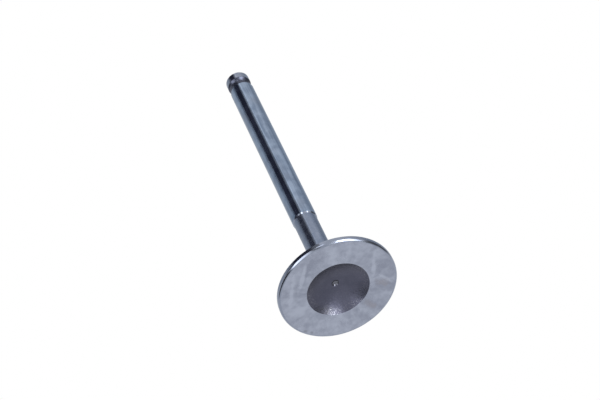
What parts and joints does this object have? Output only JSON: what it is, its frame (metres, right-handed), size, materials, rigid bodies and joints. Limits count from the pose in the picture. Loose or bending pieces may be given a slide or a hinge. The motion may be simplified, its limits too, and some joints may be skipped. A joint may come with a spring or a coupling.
{
  "type": "engine valve",
  "caption": "Poppet valve for an engine: long ground stem with a keeper groove, relieved neck, tulip head with a 45 degree seat, and a flat face with a dished recess.",
  "frame": {"origin": "centre of the flat combustion face, on the valve's axis", "axes": "+Z along the valve's axis, from the combustion face to the tip of the stem; X and Y are free, because the valve is round"},
  "size_m": [0.037, 0.037, 0.114],
  "materials": {
    "valve_steel": "bare steel: polished ground stem, finely turned face and rim, dark rough forged recess"
  },
  "bodies": {
    "root": {"valve": "valve_steel"}
  },
  "joints": []
}
